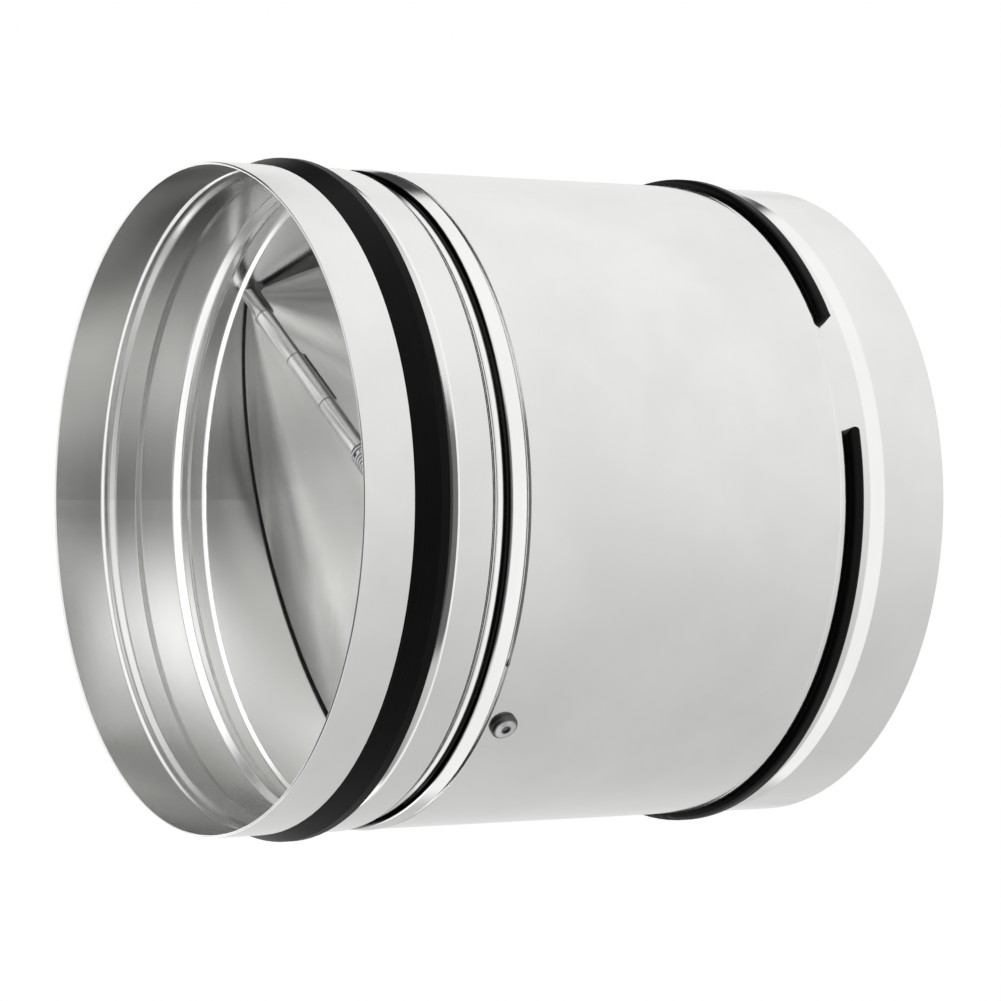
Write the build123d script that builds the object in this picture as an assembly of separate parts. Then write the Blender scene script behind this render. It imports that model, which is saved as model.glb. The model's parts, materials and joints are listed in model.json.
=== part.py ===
from build123d import *
import math
import os

# Non-return valve for a round ventilation duct, in millimetres.
# +X runs along the duct from inlet to outlet, +Z is up, and the origin is on the duct axis at mid-length.
# Stations along the duct are given from the inlet rim. Radii are from the duct axis.

# Duct and sheet metal
duct_bore_diameter = 160.0
duct_clearance = 0.5
sheet = 0.7
overall_length = 160.0

# Inlet collar: plain lead-in, seat of the rubber seal, groove, bead and the sleeve inside the casing
lip_seat_start = 12.8
lip_seat_depth = 0.6
lip_seat_slope = 0.6
lip_seat_bend_radius = 0.5
inlet_seat_start = 14.6
inlet_seat_floor_start = 16.2
inlet_seat_floor_end = 21.9
inlet_seat_end = 24.0
seat_depth = 1.5
seat_bend_radius = 1.2
groove_start = 33.1
groove_floor_start = 34.9
groove_floor_end = 36.65
groove_depth = 1.45
groove_bend_radius = 0.9
bead_start = 37.5
bead_start_drop = 0.3
bead_top = 41.7
bead_end = 42.5
bead_height = 0.15
bead_foot_radius = 0.4
bead_shoulder_radius = 1.7
bead_bend_radius = 0.3
inlet_sleeve_end = 72.0
rim_setback = 0.3

# Casing around the two collars
casing_start = 43.1
casing_end = 131.2
casing_wall_gap = 0.04
casing_rear_roll_length = 2.0
casing_rear_roll_height = 0.08
oval_station = 66.5
oval_angle = 114.5
oval_length = 25.0
oval_depth = 0.3
oval_cross_radius = 15.0

# Outlet collar
outlet_sleeve_start = 116.0
outlet_step_start = 138.6
outlet_step_end = 142.2
outlet_bend_radius = 4.0

# Rubber duct seals
seal_free_height = 1.8
inlet_lip_gap = 0.1
inlet_lip_thickness = 0.35
inlet_crest_start = 18.6
inlet_crest_end = 20.9
inlet_lip_end = 21.7
seal_seat_gap = 0.02
outlet_seal_start = 131.5
outlet_seal_end = 135.3
outlet_seal_rounding = 1.3
outlet_seal_break_start = 147.5
outlet_seal_break_end = 167.7

# Hinge line of the two flaps: a chord of the duct above its axis
hinge_station = 44.0
hinge_offset = 9.9
hinge_tilt = 35.1
spindle_radius = 1.5
running_clearance = 0.05
leaf_thickness = 0.8
spindle_hole_clearance = 0.05
knuckle_inner_end = 6.6
knuckles_per_side = 3
knuckle_gap = 0.35
leaf_notch_gap = 0.45
roll_slit = 0.3
roll_slit_angle = 28.0
bush_wall = 0.45
bush_length = 10.0
washer_thickness = 0.5
washer_gap = 0.1
bush_wall_clearance = 0.35
washer_width = 1.1

# Flaps: the angles are from the plane across the duct
closed_angle = 14.3
upper_rest_angle = 49.8
leaf_wall_gap = 1.15
leaf_corner_radius = 1.2
edge_strip_width = 5.5
edge_strip_thickness = 0.9
edge_strip_wall_gap = 0.6
edge_strip_end_gap = 1.5

# Closing spring on the spindle
wire_diameter = 0.8
coil_radius = 2.65
coil_turns = 8
coil_pitch = 1.05
leg_reach = 24.0
leg_end_turn = 330.0
leg_touch_gap = 0.02
leg_ring_gap = 0.12
spring_notch_gap = 2.3

# Pressed stops that the closed flaps lie against
stop_length = 14.0
stop_width = 4.0
stop_height = 2.4
stop_clearance = 0.35
stop_rounding = 0.6
upper_stop_angle = 114.0
lower_stop_angle = -75.0

# Blind rivets between casing and inlet sleeve
rivet_station = 47.3
near_rivet_angle = -139.6
top_rivet_angle = 80.4
rivet_shank_radius = 1.6
rivet_hole_clearance = 0.04
rivet_head_radius = 3.3
rivet_head_height = 1.75
rivet_shoulder_drop = 0.3
rivet_shoulder_radius = 1.0
rivet_tail_radius = 2.3
rivet_tail_height = 0.35
rivet_seat_gap = 0.02
mandrel_radius = 0.85
mandrel_gap = 0.03
mandrel_recess = 0.45

# Cutters and joined pieces reach past the metal by this much
cut_margin = 1.0

# Worked out from the sizes above
collar_radius = duct_bore_diameter / 2 - duct_clearance
casing_outer_radius = collar_radius - 0.1
casing_inner_radius = casing_outer_radius - sheet
sleeve_outer_radius = casing_inner_radius - casing_wall_gap
sleeve_inner_radius = sleeve_outer_radius - sheet
seat_radius = collar_radius - seat_depth
lip_seat_radius = collar_radius - lip_seat_depth
seal_crest_radius = collar_radius + seal_free_height
knuckle_radius = spindle_radius + running_clearance + leaf_thickness
leaf_edge = knuckle_radius + leaf_notch_gap
bush_radius = spindle_radius + bush_wall
bush_end = math.sqrt(sleeve_inner_radius**2 - (hinge_offset + bush_radius) ** 2) - bush_wall_clearance
washer_start = bush_end - bush_length - washer_gap - washer_thickness
knuckle_outer_end = washer_start - washer_gap
leaf_radius = sleeve_inner_radius - leaf_wall_gap
strip_radius = sleeve_inner_radius - edge_strip_wall_gap


def along(station):
    """X of a station that is given from the inlet rim."""
    return station - overall_length / 2


def around(station, angle, radius=0.0):
    """Place on the duct axis, or out from it, whose own Z points away from the axis."""
    outward = Vector(0, math.cos(math.radians(angle)), math.sin(math.radians(angle)))
    return Plane(origin=Vector(along(station), 0, 0) + outward * radius, x_dir=(1, 0, 0), z_dir=outward)


def turned(section, angle=360.0, start=0.0):
    """Body of revolution about the duct axis."""
    return Rot(start, 0, 0) * revolve(section, axis=Axis.X, revolution_arc=angle)


def sheet_section(*outer_lines):
    """Section of formed sheet: its outer line, and the same line one sheet thickness nearer the axis."""
    outer = Wire([edge for line in outer_lines for edge in line.edges()])
    inner = outer.moved(Location((0, -sheet, 0)))
    ends = [Line(outer @ 0, inner @ 0), Line(outer @ 1, inner @ 1)]
    return make_face([*outer.edges(), *inner.edges(), *ends])


def rivet_holes():
    """Cutters for the rivet shanks through both sheets."""
    depth = 2 * (sheet + casing_wall_gap + cut_margin)
    shank = Cylinder(rivet_shank_radius + rivet_hole_clearance, depth)
    return [around(rivet_station, angle, casing_inner_radius) * shank for angle in (near_rivet_angle, top_rivet_angle)]


def flap_plane(angle, side):
    """Plane of a flap, with X along the spindle and Y from the spindle to the flap's free edge."""
    tilt = math.radians(hinge_tilt)
    lean = math.radians(angle)
    spindle_way = Vector(0, math.cos(tilt), math.sin(tilt))
    across = Vector(0, -math.sin(tilt), math.cos(tilt))
    origin = Vector(along(hinge_station), 0, 0) + across * hinge_offset
    free_edge_way = Vector(1, 0, 0) * math.sin(lean) + across * (side * math.cos(lean))
    return Plane(origin=origin, x_dir=spindle_way, z_dir=spindle_way.cross(free_edge_way))


upper_side = 1
lower_side = -1
hinge_frame = flap_plane(0, upper_side)
rest_planes = {
    upper_side: flap_plane(upper_rest_angle, upper_side),
    lower_side: flap_plane(closed_angle, lower_side),
}


def rod(radius, start, end):
    """Round bar along the local X axis."""
    return Pos((start + end) / 2, 0, 0) * Rot(0, 90, 0) * Cylinder(radius, end - start)


def tube(outer, inner, start, end):
    """Round tube along the local X axis."""
    return rod(outer, start, end) - rod(inner, start - cut_margin, end + cut_margin)


def chord_reach(radius, outer_side=0.0):
    """How far the hinge line runs from its middle before it meets a circle about the duct axis."""
    return math.sqrt(radius**2 - (hinge_offset + outer_side) ** 2)


def make_casing():
    roll_middle = casing_end - casing_rear_roll_length / 2
    roll_start = casing_end - casing_rear_roll_length
    wall = Line((along(casing_start), casing_outer_radius), (along(roll_start), casing_outer_radius))
    roll = ThreePointArc(
        (along(roll_start), casing_outer_radius),
        (along(roll_middle), casing_outer_radius + casing_rear_roll_height),
        (along(casing_end), casing_outer_radius),
    )
    casing = turned(sheet_section(wall, roll))
    for hole in rivet_holes():
        casing -= hole
    barrel_place = around(oval_station, oval_angle, casing_outer_radius - oval_depth + oval_cross_radius)
    return casing - barrel_place * make_barrel(oval_length, oval_cross_radius, oval_depth)


def make_barrel(length, radius, bulge):
    """Barrel along X, whose middle is thicker than its ends by the bulge."""
    left = (-length / 2, radius - bulge)
    right = (length / 2, radius - bulge)
    bow = ThreePointArc(left, (0, radius), right)
    core = Polyline(right, (length / 2, 0), (-length / 2, 0), left)
    return revolve(make_face([bow, *core.edges()]), axis=Axis.X)


def stop_station(side, angle):
    """Middle of a pressed stop, whose far end nearly meets the closed flap."""
    out = sleeve_inner_radius - stop_height / 2
    from_hinge = side * (out * math.sin(math.radians(angle - hinge_tilt)) - hinge_offset)
    lean = math.radians(closed_angle)
    leaf_face = hinge_station + from_hinge * math.tan(lean) - leaf_thickness / 2 / math.cos(lean)
    return leaf_face - stop_clearance - stop_length / 2


def stop_pad(side, angle):
    """Inner face of a pressed stop."""
    pad = extrude(SlotOverall(stop_length, stop_width), amount=stop_height + sheet / 2)
    pad = fillet(pad.faces().sort_by(Axis.Z)[0].edges(), stop_rounding)
    return around(stop_station(side, angle), angle, sleeve_inner_radius - stop_height) * pad


def spindle_hole():
    reach = 2 * collar_radius
    return hinge_frame * rod(spindle_radius + spindle_hole_clearance, -reach, reach)


def make_inlet_spigot():
    profile = FilletPolyline(
        (along(rim_setback), collar_radius),
        (along(lip_seat_start), collar_radius),
        (along(lip_seat_start + lip_seat_slope), lip_seat_radius),
        (along(inlet_seat_start), lip_seat_radius),
        (along(inlet_seat_floor_start), seat_radius),
        (along(inlet_seat_floor_end), seat_radius),
        (along(inlet_seat_end), collar_radius),
        (along(groove_start), collar_radius),
        (along(groove_floor_start), collar_radius - groove_depth),
        (along(groove_floor_end), collar_radius - groove_depth),
        (along(bead_start), collar_radius - bead_start_drop),
        (along(bead_top), collar_radius + bead_height),
        (along(bead_end), sleeve_outer_radius),
        (along(inlet_sleeve_end), sleeve_outer_radius),
        radius=[
            *[lip_seat_bend_radius] * 2,
            *[seat_bend_radius] * 4,
            *[groove_bend_radius] * 2,
            bead_foot_radius,
            bead_shoulder_radius,
            *[bead_bend_radius] * 2,
        ],
    )
    spigot = turned(sheet_section(profile))
    spigot += rim_roll(rim_setback)
    for hole in rivet_holes():
        spigot -= hole
    spigot += stop_pad(upper_side, upper_stop_angle)
    spigot += stop_pad(lower_side, lower_stop_angle)
    return spigot - spindle_hole()


def rim_roll(station):
    """Rounded cut edge of a collar."""
    outer = (along(station), collar_radius)
    inner = (along(station), collar_radius - sheet)
    beyond = station - math.copysign(rim_setback, overall_length / 2 - station)
    nose = ThreePointArc(outer, (along(beyond), collar_radius - sheet / 2), inner)
    return turned(make_face([nose, Line(inner, outer)]))


def make_outlet_spigot():
    rim = overall_length - rim_setback
    profile = FilletPolyline(
        (along(outlet_sleeve_start), sleeve_outer_radius),
        (along(outlet_step_start), sleeve_outer_radius),
        (along(outlet_step_end), collar_radius),
        (along(rim), collar_radius),
        radius=outlet_bend_radius,
    )
    return turned(sheet_section(profile)) + rim_roll(rim)


def make_inlet_seal():
    """Lip seal: its root fills the seat, and a thin lip runs forward over the collar."""
    floor = seat_radius + seal_seat_gap
    cover = lip_seat_radius + seal_seat_gap
    start = lip_seat_start + lip_seat_slope + inlet_lip_gap
    front = (inlet_seat_floor_start + inlet_seat_start) / 2
    section = make_face(
        Polyline(
            (along(start), cover),
            (along(start), cover + inlet_lip_thickness),
            (along(inlet_crest_start), seal_crest_radius),
            (along(inlet_crest_end), seal_crest_radius),
            (along(inlet_lip_end), cover),
            (along(inlet_lip_end), floor),
            (along(inlet_seat_floor_start + seat_bend_radius), floor),
            (along(front), cover),
            close=True,
        )
    )
    crest = section.vertices().sort_by(Axis.Y)[-2:]
    return turned(fillet(crest, inlet_lip_thickness))


def make_outlet_seal():
    """Rubber strip laid round the outlet groove, whose rounded ends stop short of each other."""
    floor = sleeve_outer_radius + seal_seat_gap
    width = outlet_seal_end - outlet_seal_start
    section = make_face(
        Polyline(
            (along(outlet_seal_start), floor),
            (along(outlet_seal_start), seal_crest_radius),
            (along(outlet_seal_end), seal_crest_radius),
            (along(outlet_seal_end), floor),
            close=True,
        )
    )
    crest = section.vertices().sort_by(Axis.Y)[-2:]
    section = fillet(crest, outlet_seal_rounding)
    end_turn = math.degrees(width / 2 / seal_crest_radius)
    first = outlet_seal_break_end + end_turn
    last = outlet_seal_break_start - end_turn
    strip = turned(section, last - first + 360, first)
    nose = Cylinder(width / 2, 2 * (seal_crest_radius - floor + cut_margin))
    station = (outlet_seal_start + outlet_seal_end) / 2
    for angle in (first, last):
        strip += turned(section, 2 * end_turn, angle - end_turn) & (around(station, angle, floor) * nose)
    return strip


def make_spindle():
    end = chord_reach(casing_inner_radius - seal_seat_gap, spindle_radius)
    return hinge_frame * rod(spindle_radius, -end, end)


def make_bush(side):
    """Plain tube that holds the knuckles off the wall."""
    ends = sorted((side * (bush_end - bush_length), side * bush_end))
    return hinge_frame * tube(bush_radius, spindle_radius + running_clearance, *ends)


def make_washer(side):
    """Thin washer between a bush and the outermost knuckle."""
    ends = sorted((side * washer_start, side * (washer_start + washer_thickness)))
    return hinge_frame * tube(spindle_radius + washer_width, spindle_radius + running_clearance, *ends)


def knuckle_spans(side):
    """Stretches of the spindle that a flap's rolled knuckles take: they take turns, upper flap outermost."""
    pitch = (knuckle_outer_end - knuckle_inner_end + knuckle_gap) / knuckles_per_side
    spans = []
    for place in range(knuckles_per_side):
        end = knuckle_outer_end - place * pitch
        start = end - pitch + knuckle_gap
        if (place % 2 == 0) == (side == upper_side):
            spans += [(start, end), (-end, -start)]
    return spans


def flap_outline(side, radius):
    """The part of the duct's slanted section that a flap covers when it is closed, in the flap's plane."""
    lean = math.radians(closed_angle)
    oval = Ellipse(radius, radius / math.cos(lean))
    return Pos(0, -side * hinge_offset / math.cos(lean)) * oval


def above(height):
    """Everything in a flap's plane that lies at least this far from the spindle."""
    size = 2 * duct_bore_diameter
    return Pos(0, height) * Rectangle(size, size, align=(Align.CENTER, Align.MIN))


def make_flap(side):
    """Sheet flap with its own knuckles rolled from the same sheet."""
    outline = flap_outline(side, leaf_radius) & above(leaf_edge)
    corners = outline.vertices().group_by(Axis.Y)[0]
    outline = fillet(corners, leaf_corner_radius)
    bore = spindle_radius + running_clearance
    middle = (bore + knuckle_radius) / 2
    rolls = []
    for start, end in knuckle_spans(side):
        neck = Pos((start + end) / 2, middle) * Rectangle(
            end - start, leaf_edge - middle + cut_margin, align=(Align.CENTER, Align.MIN)
        )
        outline += neck
        slit = Pos((start + end) / 2, middle, 0) * Box(end - start + cut_margin, 2 * leaf_thickness, roll_slit)
        roll = tube(knuckle_radius, bore, start, end) - Rot(side * roll_slit_angle, 0, 0) * slit
        rolls.append(roll)
    spring_room = 2 * (knuckle_inner_end + knuckle_gap)
    spring_depth = coil_radius + wire_diameter / 2 + spring_notch_gap
    outline -= Rectangle(spring_room, 2 * spring_depth)
    leaf = extrude(outline, amount=leaf_thickness / 2, both=True)
    for roll in rolls:
        leaf += roll
    return rest_planes[side] * leaf


def make_edge_strip(side):
    """Soft strip bonded to the back of a flap, reaching past its edge towards the duct wall."""
    band = flap_outline(side, strip_radius) - flap_outline(side, strip_radius - edge_strip_width)
    band = band & above(leaf_edge + edge_strip_end_gap)
    strip = extrude(band, amount=side * edge_strip_thickness)
    return rest_planes[side] * Pos(0, 0, side * (leaf_thickness / 2 + seal_seat_gap)) * strip


def make_spring_coil():
    length = coil_turns * coil_pitch
    path = Helix(coil_pitch, length, coil_radius)
    wire = sweep(Plane(origin=path @ 0, z_dir=path % 0) * Circle(wire_diameter / 2), path=path)
    return hinge_frame * Pos(-length / 2, 0, 0) * Rot(0, 90, 0) * wire


def make_spring_leg(side):
    """End turn of the spring and the straight leg that presses on a flap's back."""
    place = side * (coil_turns * coil_pitch / 2 + wire_diameter + leg_ring_gap)
    height = leaf_thickness / 2 + wire_diameter / 2 + leg_touch_gap
    leave = math.atan2(height, leg_reach) + math.acos(coil_radius / math.hypot(leg_reach, height))
    turn = CenterArc((0, 0), coil_radius, math.degrees(leave) + leg_end_turn, -leg_end_turn)
    path = Wire([turn.edge(), Line(turn @ 1, (leg_reach, height)).edge()])
    wire = sweep(Plane(origin=path @ 0, z_dir=path % 0) * Circle(wire_diameter / 2), path=path)
    return rest_planes[side] * Plane(origin=(place, 0, 0), x_dir=(0, 1, 0), z_dir=(side, 0, 0)) * wire


def rivet_ends():
    """Height of a rivet's head seat and of its tail seat, from the duct axis."""
    sagitta = sleeve_inner_radius - math.sqrt(sleeve_inner_radius**2 - rivet_tail_radius**2)
    return casing_outer_radius + rivet_seat_gap, sleeve_inner_radius - sagitta - rivet_seat_gap


def set_rivet(profile, angle):
    """Turned rivet piece, set in its hole. The profile runs along X from the head seat, with radii in Y."""
    head_seat, _ = rivet_ends()
    return around(rivet_station, angle, head_seat) * Rot(0, -90, 0) * revolve(profile, axis=Axis.X)


def make_rivet(angle):
    """Domed blind rivet: a hollow body with a head outside and a flattened tail inside."""
    head_seat, tail_seat = rivet_ends()
    grip = head_seat - tail_seat
    bore = mandrel_radius + mandrel_gap
    dome = FilletPolyline(
        (0, rivet_head_radius),
        (rivet_head_height - rivet_shoulder_drop, rivet_head_radius),
        (rivet_head_height, bore),
        radius=rivet_shoulder_radius,
    )
    body = Polyline(
        dome @ 1,
        (-grip - rivet_tail_height, bore),
        (-grip - rivet_tail_height, rivet_tail_radius),
        (-grip, rivet_tail_radius),
        (-grip, rivet_shank_radius),
        (0, rivet_shank_radius),
        dome @ 0,
    )
    return set_rivet(make_face([*dome.edges(), *body.edges()]), angle)


def make_mandrel(angle):
    """Broken-off stem left in a rivet's bore, a little below the top of the head."""
    head_seat, tail_seat = rivet_ends()
    inner = tail_seat - head_seat - rivet_tail_height
    outer = rivet_head_height - mandrel_recess
    stem = Polyline((inner, 0), (inner, mandrel_radius), (outer, mandrel_radius), (outer, 0), close=True)
    return set_rivet(make_face(stem), angle)


parts = {
    "casing": make_casing(),
    "inlet_spigot": make_inlet_spigot(),
    "outlet_spigot": make_outlet_spigot(),
    "inlet_seal": make_inlet_seal(),
    "outlet_seal": make_outlet_seal(),
    "spindle": make_spindle(),
    "far_bush": make_bush(1),
    "near_bush": make_bush(-1),
    "far_washer": make_washer(1),
    "near_washer": make_washer(-1),
    "upper_flap": make_flap(upper_side),
    "lower_flap": make_flap(lower_side),
    "upper_edge_strip": make_edge_strip(upper_side),
    "lower_edge_strip": make_edge_strip(lower_side),
    "spring_coil": make_spring_coil(),
    "upper_spring_leg": make_spring_leg(upper_side),
    "lower_spring_leg": make_spring_leg(lower_side),
    "near_rivet": make_rivet(near_rivet_angle),
    "near_rivet_mandrel": make_mandrel(near_rivet_angle),
    "top_rivet": make_rivet(top_rivet_angle),
    "top_rivet_mandrel": make_mandrel(top_rivet_angle),
}

os.makedirs("parts", exist_ok=True)
for name, shape in parts.items():
    export_step(shape, f"parts/{name}.step")
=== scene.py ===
import json
import math

import bpy
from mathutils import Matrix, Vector

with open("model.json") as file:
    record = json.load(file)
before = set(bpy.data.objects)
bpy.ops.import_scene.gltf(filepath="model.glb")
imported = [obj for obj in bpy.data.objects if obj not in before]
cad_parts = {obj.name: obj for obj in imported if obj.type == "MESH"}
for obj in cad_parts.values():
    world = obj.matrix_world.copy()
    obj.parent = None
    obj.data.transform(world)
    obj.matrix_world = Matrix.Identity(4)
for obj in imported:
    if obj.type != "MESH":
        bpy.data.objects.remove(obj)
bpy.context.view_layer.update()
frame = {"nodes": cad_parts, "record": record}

# The valve's own sizes that the finishes need, in metres
duct_radius = 0.0795
hinge_tilt = math.radians(35.1)
hinge_offset = 0.0099
hinge_x = -0.036
rivet_x = -0.0327
rivet_angles = (-139.6, 80.4)
spindle_way = Vector((0, math.cos(hinge_tilt), math.sin(hinge_tilt)))
across_way = Vector((0, -math.sin(hinge_tilt), math.cos(hinge_tilt)))
hinge_middle = Vector((hinge_x, 0, 0)) + across_way * hinge_offset


class Value:
    """A shader socket that can be used in ordinary sums."""

    def __init__(self, finish, socket):
        self.finish = finish
        self.socket = socket

    def sum(self, operation, first, second=None, third=None):
        inputs = [entry for entry in (first, second, third) if entry is not None]
        return self.finish.node("ShaderNodeMath", {"operation": operation}, dict(enumerate(inputs)))

    def __add__(self, other):
        return self.sum("ADD", self, other)

    def __radd__(self, other):
        return self.sum("ADD", other, self)

    def __sub__(self, other):
        return self.sum("SUBTRACT", self, other)

    def __rsub__(self, other):
        return self.sum("SUBTRACT", other, self)

    def __mul__(self, other):
        return self.sum("MULTIPLY", self, other)

    def __rmul__(self, other):
        return self.sum("MULTIPLY", other, self)

    def __truediv__(self, other):
        return self.sum("DIVIDE", self, other)

    def __rtruediv__(self, other):
        return self.sum("DIVIDE", other, self)

    def __pow__(self, other):
        return self.sum("POWER", self, other)

    def over(self, other):
        return self.sum("GREATER_THAN", self, other)

    def smooth(self, low, high):
        settings = {"interpolation_type": "SMOOTHSTEP"}
        return self.finish.node("ShaderNodeMapRange", settings, {"Value": self, "From Min": low, "From Max": high})


class Finish:
    """A material being built, with one way to add any node."""

    def __init__(self, tree):
        self.tree = tree
        tree.nodes.clear()

    def node(self, kind, settings=None, inputs=None, output=0):
        made = self.tree.nodes.new(kind)
        for name, setting in (settings or {}).items():
            if name == "stops":
                ramp = made.color_ramp
                while len(ramp.elements) < len(setting):
                    ramp.elements.new(1)
                for element, (place, colour) in zip(ramp.elements, setting):
                    element.position = place
                    element.color = colour if len(colour) == 4 else (*colour, 1)
            else:
                setattr(made, name, setting)
        for name, entry in (inputs or {}).items():
            if isinstance(entry, Value):
                self.tree.links.new(entry.socket, made.inputs[name])
            else:
                made.inputs[name].default_value = entry
        return Value(self, made.outputs[output]) if len(made.outputs) else None

    def object_place(self):
        return self.node("ShaderNodeTexCoord", output="Object")

    def parts(self, vector):
        split = self.node("ShaderNodeSeparateXYZ", inputs={0: vector}).socket.node
        return [Value(self, out) for out in split.outputs]

    def join(self, x, y, z):
        return self.node("ShaderNodeCombineXYZ", inputs={0: x, 1: y, 2: z})

    def noise(self, vector, scale, detail=3, roughness=0.5):
        inputs = {"Vector": vector, "Scale": scale, "Detail": detail, "Roughness": roughness}
        return self.node("ShaderNodeTexNoise", inputs=inputs, output="Fac")

    def blend(self, factor, first, second):
        inputs = {0: factor, 6: first, 7: second}
        return self.node("ShaderNodeMix", {"data_type": "RGBA"}, inputs, output=2)

    def bump(self, height, distance, strength=1.0):
        return self.node("ShaderNodeBump", inputs={"Height": height, "Distance": distance, "Strength": strength}, output="Normal")


def material(name, viewport_colour):
    made = bpy.data.materials.new(name)
    made.use_nodes = True
    made.diffuse_color = (*viewport_colour, 1)
    return made


def surface(name, colour, build, **constants):
    """Principled material: build(finish) gives the inputs that change over the surface."""
    made = material(name, colour)
    finish = Finish(made.node_tree)
    inputs = {"Base Color": (*colour, 1), **constants, **build(finish)}
    shader = finish.node("ShaderNodeBsdfPrincipled", inputs=inputs)
    finish.node("ShaderNodeOutputMaterial", inputs={"Surface": shader})
    return made


def around_duct(finish):
    """Turn about the duct axis, distance from the axis, and station along it."""
    x, y, z = finish.parts(finish.object_place())
    turn = finish.node("ShaderNodeMath", {"operation": "ARCTAN2"}, {0: z, 1: y})
    out = (y * y + z * z) ** 0.5
    return x, turn, out


def facing_out(finish):
    """1 on faces that look away from the duct axis, 0 on faces that look towards it."""
    x, y, z = finish.parts(finish.object_place())
    normal_x, normal_y, normal_z = finish.parts(finish.node("ShaderNodeTexCoord", output="Normal"))
    return (y * normal_y + z * normal_z).smooth(-0.01, 0.01)


def rolled_profile(finish, station):
    """Height in millimetres that the rolled groove and bead add to the sheet, by distance from the inlet rim."""
    lip = station.smooth(32.5, 34.0) * -0.7
    flank = station.smooth(35.2, 38.6) * 0.8
    crown = station.smooth(36.0, 43.4) * 1.0
    return lip + flank + crown


def galvanised(finish):
    """Bright zinc-coated sheet: rolling lines round the duct, faint cloudiness and small scuffs, satin inside; a
    painted dark reflection on the groove's flank, and painted shading that brightens the inside from 13 to 34 mm behind
    the rim.
    """
    place = finish.object_place()
    x, turn, out = around_duct(finish)
    outside = facing_out(finish)
    station = x * 1000 + 80
    clouds = finish.noise(place, 28, 4, 0.55)
    tone = clouds.smooth(0.3, 0.7)
    rolled = rolled_profile(finish, station) * outside
    # Painted reflection: the outer flank of the groove, 36 to 38 mm behind the rim, is coloured near black.
    painted_flank_reflection = station.smooth(36.1, 36.7) * (1.0 - station.smooth(37.5, 38.1))
    outside_tone = finish.blend(tone, (0.80, 0.80, 0.79, 1), (0.86, 0.86, 0.85, 1))
    # Painted shading: the inside is darker near the rim and brighter from 13 to 34 mm behind it.
    inside_painted_shading = finish.blend(station.smooth(13.0, 34.0), (0.70, 0.70, 0.69, 1), (0.96, 0.96, 0.95, 1))
    lines = finish.noise(finish.join(x * 3200, turn * 3, out * 400), 1.0, 2)
    specks = finish.noise(place, 900, 2, 0.6)
    return {
        "Base Color": finish.blend(outside, inside_painted_shading, finish.blend(painted_flank_reflection, outside_tone, (0.02, 0.02, 0.021, 1))),
        "Roughness": 0.18 + lines * 0.04 + clouds * 0.06 - outside * 0.12,
        "Normal": finish.bump(lines * 0.0084 + specks * 0.0036 + rolled, 0.001),
    }


def flap_sheet(finish):
    """Thin bright sheet: fine drawing lines that fan out from the far end of the hinge, a soft waviness, and a painted
    sheen in the base colour, bright over a fan-shaped sector from the far end of the hinge and dark beside it.
    """
    place = finish.object_place()
    x, y, z = finish.parts(place)
    far_end = hinge_middle + spindle_way * 0.0765
    along = (y - far_end.y) * spindle_way.y + (z - far_end.z) * spindle_way.z
    across = (y - far_end.y) * across_way.y + (z - far_end.z) * across_way.z
    fan = finish.node("ShaderNodeMath", {"operation": "ARCTAN2"}, {0: across, 1: along * -1})
    reach = (along * along + across * across) ** 0.5
    broad = finish.noise(finish.join(fan * 2.6, 0.3, 0.7), 1.0, 1, 0.3) * reach
    fine = finish.noise(finish.join(fan * 60, x * 4, 0.2), 1.0, 2, 0.5)
    clouds = finish.noise(place, 40, 3)
    # Painted sheen: base colour bright in a fan from the far end of the hinge and dark on either side, standing in for
    # reflection; the clouds vary it a little.
    painted_sheen = fan.smooth(-1.08, -0.66) * (1.0 - fan.smooth(0.20, 0.40) * 0.8) * (0.92 + clouds * 0.08)
    return {
        "Base Color": finish.blend(painted_sheen, (0.42, 0.42, 0.41, 1), (1.0, 1.0, 0.99, 1)),
        "Roughness": 0.22 + fine * 0.03 + clouds * 0.03,
        "Normal": finish.bump(broad, 0.06),
    }


def bright_bar(finish):
    x, y, z = finish.parts(finish.object_place())
    along = y * spindle_way.y + z * spindle_way.z
    rings = finish.noise(finish.join(along * 4000, 0, 0), 1.0, 2)
    scuffs = finish.noise(finish.object_place(), 400, 3)
    return {"Roughness": 0.16 + scuffs * 0.12, "Normal": finish.bump(rings, 0.000006)}


def sealing_rubber(finish):
    """Black extruded rubber, with faint lines along it and a dusting of bloom."""
    x, turn, out = around_duct(finish)
    lines = finish.noise(finish.join(x * 1800, turn * 2, out * 1800), 1.0, 2)
    bloom = finish.noise(finish.object_place(), 60, 5, 0.6)
    return {
        "Base Color": finish.blend(bloom.smooth(0.35, 0.8), (0.0015, 0.0015, 0.0016, 1), (0.004, 0.004, 0.0042, 1)),
        "Roughness": 0.32 + bloom * 0.15,
        "Normal": finish.bump(lines, 0.00003),
    }


def foam_rubber(finish):
    cells = finish.noise(finish.object_place(), 2600, 2, 0.7)
    return {
        "Base Color": finish.blend(cells, (0.006, 0.006, 0.006, 1), (0.02, 0.02, 0.02, 1)),
        "Roughness": 0.75 + cells * 0.15,
        "Normal": finish.bump(cells, 0.00008),
    }


def rolled_tube(finish):
    """Bright strip rolled into a tube, a little stained."""
    stains = finish.noise(finish.object_place(), 300, 3)
    return {
        "Base Color": finish.blend(stains, (0.60, 0.60, 0.60, 1), (0.76, 0.76, 0.75, 1)),
        "Roughness": 0.18 + stains * 0.12,
        "Normal": finish.bump(stains, 0.00001),
    }


def spring_wire(finish):
    drawn = finish.noise(finish.object_place(), 1500, 2)
    return {"Roughness": 0.22 + drawn * 0.15, "Normal": finish.bump(drawn, 0.00001)}


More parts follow.
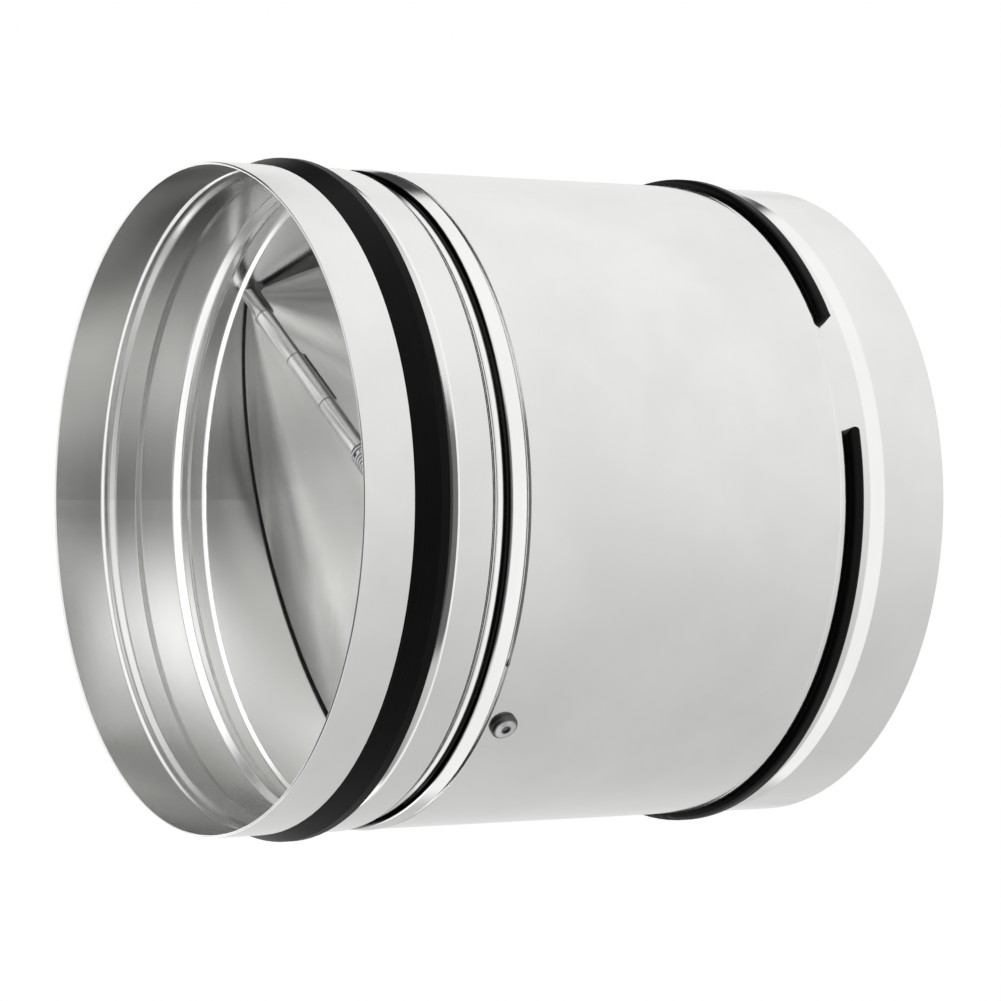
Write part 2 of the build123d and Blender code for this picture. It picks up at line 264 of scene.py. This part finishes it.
def rivet_body(finish):
    """Dull aluminium, with painted shade round the rounded rim and in the hollow of the head, and random grime on the
    ring between them.
    """
    x, y, z = finish.parts(finish.object_place())
    pits = finish.noise(finish.object_place(), 1200, 4, 0.65)
    grime = finish.noise(finish.object_place(), 420, 3)
    ways = [math.radians(angle) for angle in rivet_angles]
    sides = [y * math.sin(way) - z * math.cos(way) for way in ways]
    reaches = [(((x - rivet_x) ** 2 + side * side) ** 0.5) for side in sides]
    reach = finish.node("ShaderNodeMath", {"operation": "MINIMUM"}, dict(enumerate(reaches)))
    # Painted shade: the rim and the hollow of the head are coloured dark where shade falls; random grime darkens the
    # ring between them by up to half.
    painted_shade_and_grime = 1.0 - (1.0 - reach.smooth(0.0023, 0.0029)) * reach.smooth(0.0009, 0.0015) * (1.0 - grime.smooth(0.5, 0.8) * 0.5)
    return {
        "Base Color": finish.blend(painted_shade_and_grime, (0.62, 0.62, 0.62, 1), (0.10, 0.10, 0.095, 1)),
        "Roughness": 0.28 + pits * 0.2,
        "Normal": finish.bump(pits, 0.00008),
    }


def snapped_stem(finish):
    torn = finish.noise(finish.object_place(), 2200, 4, 0.7)
    return {
        "Base Color": finish.blend(torn, (0.12, 0.115, 0.11, 1), (0.34, 0.33, 0.32, 1)),
        "Roughness": 0.45 + torn * 0.2,
        "Normal": finish.bump(torn, 0.00015),
    }


finishes = {
    "galvanised_sheet": surface("galvanised sheet", (0.83, 0.83, 0.82), galvanised, Metallic=1.0),
    "flap_sheet": surface("flap sheet", (0.78, 0.78, 0.77), flap_sheet, Metallic=1.0),
    "seal_rubber": surface("sealing rubber", (0.006, 0.006, 0.0065), sealing_rubber, **{"Specular IOR Level": 0.09}),
    "strip_rubber": surface("foam rubber strip", (0.012, 0.012, 0.012), foam_rubber),
    "spindle_steel": surface("bright drawn bar", (0.70, 0.70, 0.71), bright_bar, Metallic=1.0),
    "bush_steel": surface("bush tube", (0.70, 0.70, 0.69), rolled_tube, Metallic=1.0),
    "spring_steel": surface("spring wire", (0.60, 0.60, 0.61), spring_wire, Metallic=1.0),
    "rivet_aluminium": surface("rivet body", (0.62, 0.62, 0.62), rivet_body, Metallic=1.0),
    "mandrel_steel": surface("snapped stem", (0.24, 0.23, 0.22), snapped_stem, Metallic=1.0),
}

slot_of = {entry["node"]: entry["material_slot"] for entry in frame["record"]["subparts"]}
for name, piece in frame["nodes"].items():
    for place in piece.material_slots:
        place.material = finishes[slot_of[name]]


# Studio: a white tent with a soft light in front, open and dark beyond the inlet, over a pale floor

def studio_world():
    world = bpy.data.worlds.new("studio")
    world.use_nodes = True
    bpy.context.scene.world = world
    finish = Finish(world.node_tree)
    x, y, z = finish.parts(finish.node("ShaderNodeTexCoord", output="Generated"))
    height = z * 0.5 + 0.5
    tent = finish.node(
        "ShaderNodeValToRGB",
        {"stops": [(0.0, (0.60, 0.60, 0.60)), (0.5, (0.84, 0.84, 0.84)), (0.9, (0.97, 0.97, 0.97))]},
        {"Fac": height},
    )
    azimuth = finish.node("ShaderNodeMath", {"operation": "ARCTAN2"}, {0: x, 1: y * -1.0})
    front_light = x.smooth(-0.20, -0.02) * (1.0 - x.smooth(0.40, 0.47)) * (1.0 - y.smooth(0.30, 0.50))
    tent = finish.blend(front_light * 0.95, tent, (1.08, 1.08, 1.08, 1))
    behind = (x * -1.0).smooth(0.00, 0.10) * (1.0 - (x * -1.0).smooth(0.26, 0.38)) * y.smooth(0.20, 0.40) * (1.0 - z.smooth(0.40, 0.60))
    tent = finish.blend(behind, tent, (2.2, 2.2, 2.2, 1))
    open_side = (x * -0.85 + y * 0.53).smooth(0.24, 0.48) * (x * -1.0).smooth(0.18, 0.30) * (1.0 - y.smooth(0.74, 0.86))
    open_side = open_side * (1.0 - behind)
    camera_side = azimuth.smooth(math.radians(-66), math.radians(-56)) * (1.0 - azimuth.smooth(math.radians(-20), math.radians(-10)))
    camera_side = camera_side * (1.0 - z.smooth(0.30, 0.60)) * z.smooth(-0.74, -0.62) * 0.78
    dark_loft = y.smooth(0.42, 0.54) * z.smooth(0.44, 0.54) * (1.0 - x.smooth(0.42, 0.48))
    dark = 1.0 - (1.0 - open_side) * (1.0 - dark_loft * 0.95) * (1.0 - camera_side)
    far_corner = azimuth.smooth(math.radians(98), math.radians(108)) * (1.0 - azimuth.smooth(math.radians(134), math.radians(144)))
    far_corner = far_corner * (1.0 - (z * z).smooth(0.06, 0.20)) * 0.85
    lit = finish.blend(dark, finish.blend(far_corner, tent, (0.02, 0.02, 0.02, 1)), (0.012, 0.012, 0.016, 1))
    camera_ray = finish.node("ShaderNodeLightPath", output="Is Camera Ray")
    seen = finish.node("ShaderNodeBackground", inputs={"Color": (1, 1, 1, 1), "Strength": 1.0})
    lights = finish.node("ShaderNodeBackground", inputs={"Color": lit, "Strength": 1.0})
    mixed = finish.node("ShaderNodeMixShader", inputs={0: camera_ray, 1: lights, 2: seen})
    finish.node("ShaderNodeOutputWorld", inputs={"Surface": mixed})


def studio_floor():
    mesh = bpy.data.meshes.new("floor")
    count = 64
    rim = [(1.1 * math.cos(2 * math.pi * i / count), 1.1 * math.sin(2 * math.pi * i / count), -0.34) for i in range(count)]
    mesh.from_pydata(rim, [], [list(range(count))])
    floor = bpy.data.objects.new("floor", mesh)
    bpy.context.scene.collection.objects.link(floor)
    made = material("floor", (0.9, 0.9, 0.9))
    finish = Finish(made.node_tree)
    paint = finish.node("ShaderNodeBsdfDiffuse", inputs={"Color": (0.86, 0.86, 0.86, 1)})
    glow = finish.node("ShaderNodeEmission", inputs={"Color": (1, 1, 1, 1), "Strength": 0.45})
    both = finish.node("ShaderNodeAddShader", inputs={0: paint, 1: glow})
    camera_ray = finish.node("ShaderNodeLightPath", output="Is Camera Ray")
    mixed = finish.node("ShaderNodeMixShader", inputs={0: camera_ray, 1: paint, 2: both})
    x, y, z = finish.parts(finish.object_place())
    faded = ((x * x + y * y) ** 0.5 - x * 0.55).smooth(0.32, 0.90)
    clear = finish.node("ShaderNodeBsdfTransparent")
    edged = finish.node("ShaderNodeMixShader", inputs={0: faded, 1: mixed, 2: clear})
    finish.node("ShaderNodeOutputMaterial", inputs={"Surface": edged})
    mesh.materials.append(made)
    floor.visible_glossy = False


def end_card(name, x, radius, colour, build):
    """Round card beyond one end of the sleeve. The camera looks through it, the reflections do not."""
    mesh = bpy.data.meshes.new(name)
    count = 64
    turns = [2 * math.pi * step / count for step in range(count)]
    rim = [(x, radius * math.cos(turn), radius * math.sin(turn)) for turn in turns]
    mesh.from_pydata(rim, [], [list(range(count))])
    card = bpy.data.objects.new(name, mesh)
    bpy.context.scene.collection.objects.link(card)
    made = material(name, colour)
    finish = Finish(made.node_tree)
    glow = finish.node("ShaderNodeEmission", inputs={"Color": build(finish), "Strength": 1.0})
    finish.node("ShaderNodeOutputMaterial", inputs={"Surface": glow})
    mesh.materials.append(made)
    card.visible_camera = False


def unlit(finish):
    return (0.012, 0.012, 0.012, 1)


def light_into_inlet(finish):
    """What the inside of the sleeve sees through the inlet: dim on the near side, bright on the far side and below."""
    x, y, z = finish.parts(finish.object_place())
    base = (y + z).smooth(-0.095, 0.060) * 1.15 + 0.20
    dip = 1.0 - (((y + 0.022) ** 2 + (z + 0.036) ** 2) ** 0.5).smooth(0.015, 0.055)
    top_edge = z.smooth(0.045, 0.080)
    low_glow = (1.0 - z.smooth(-0.085, -0.055)) * y.smooth(-0.045, -0.015)
    level = base - dip * 0.20 - top_edge * 0.45 + low_glow * 0.8
    return finish.join(level, level, level)


studio_world()
studio_floor()
end_card("dark card", 0.0815, 0.0775, (0.02, 0.02, 0.02), unlit)
end_card("inlet card", -0.115, 0.100, (0.6, 0.6, 0.6), light_into_inlet)

# Camera at the photograph's angle, level with the duct axis
camera_data = bpy.data.cameras.new("camera")
camera_data.sensor_width = 36
camera_data.lens = 134.2
camera_data.clip_end = 10
camera = bpy.data.objects.new("camera", camera_data)
bpy.context.scene.collection.objects.link(camera)
camera.location = (-0.48195, -0.78532, -0.00016)
camera.rotation_euler = (math.radians(90), 0, math.radians(-31.75))
bpy.context.scene.camera = camera

bpy.context.scene.view_settings.view_transform = "Standard"
